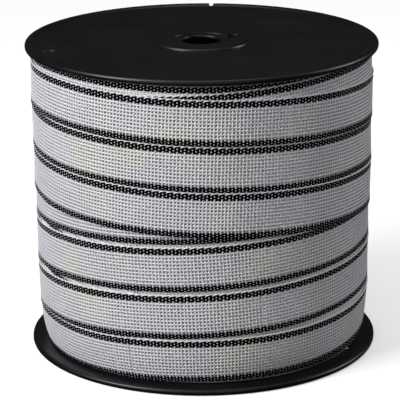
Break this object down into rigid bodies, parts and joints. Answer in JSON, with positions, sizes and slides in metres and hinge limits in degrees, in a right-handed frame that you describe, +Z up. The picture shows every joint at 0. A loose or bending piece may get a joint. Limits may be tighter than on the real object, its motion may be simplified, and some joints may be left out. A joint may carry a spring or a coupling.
{
  "type": "reel of electric fence tape",
  "caption": "Black moulded plastic spool with round flanges and a spindle bore, wound full of white woven fence tape with black edge bands.",
  "frame": {"origin": "centre of the lower flange's resting plane, on the spool's axis", "axes": "+Z runs up the spool's axis; -Y faces the camera of the picture"},
  "size_m": [0.165, 0.165, 0.146],
  "materials": {
    "spool_plastic": "satin black moulded plastic",
    "woven_tape": "woven white tape with black edge threads"
  },
  "bodies": {
    "root": {"flange_bottom": "spool_plastic", "flange_top": "spool_plastic", "barrel": "spool_plastic", "tape_winding": "woven_tape"}
  },
  "joints": []
}
